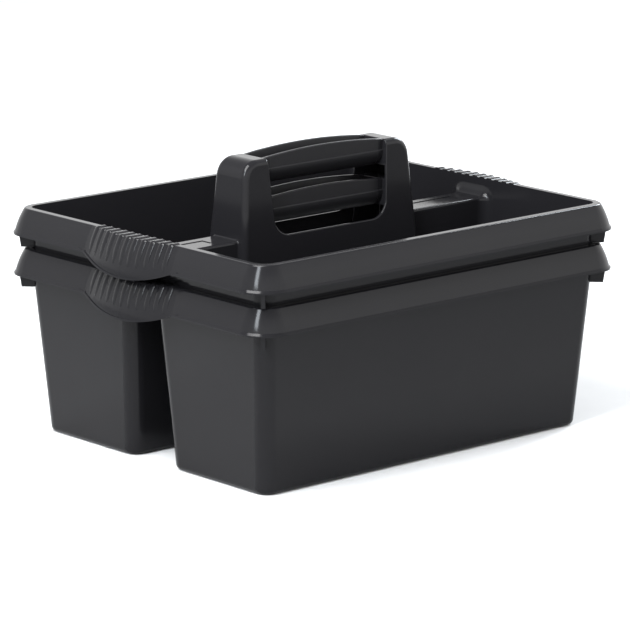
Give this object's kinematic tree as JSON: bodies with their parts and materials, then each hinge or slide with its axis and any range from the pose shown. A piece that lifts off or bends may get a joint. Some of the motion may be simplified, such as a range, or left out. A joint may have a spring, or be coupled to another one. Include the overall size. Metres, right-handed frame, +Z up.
{
  "type": "tool caddy",
  "caption": "Nested pair of open two-tub carrying caddies with hollow hooped handles, a shared rim skirt and ribbed end finger grips; the upper lifts out.",
  "frame": {"origin": "middle of the lower caddy's base, at the height it stands on", "axes": "+X along the handle and the long sides, +Y across the two tubs, +Z up"},
  "size_m": [0.4176, 0.3316, 0.2442],
  "materials": {
    "black_plastic": "glossy"
  },
  "bodies": {
    "lower_caddy": {"lower_caddy": "black_plastic"},
    "upper_caddy": {"upper_caddy": "black_plastic"}
  },
  "joints": [
    {"name": "lift_off", "type": "slide", "parent": "lower_caddy", "child": "upper_caddy", "axis": [0, 0, 1], "range_m": [0, 0.2]}
  ]
}
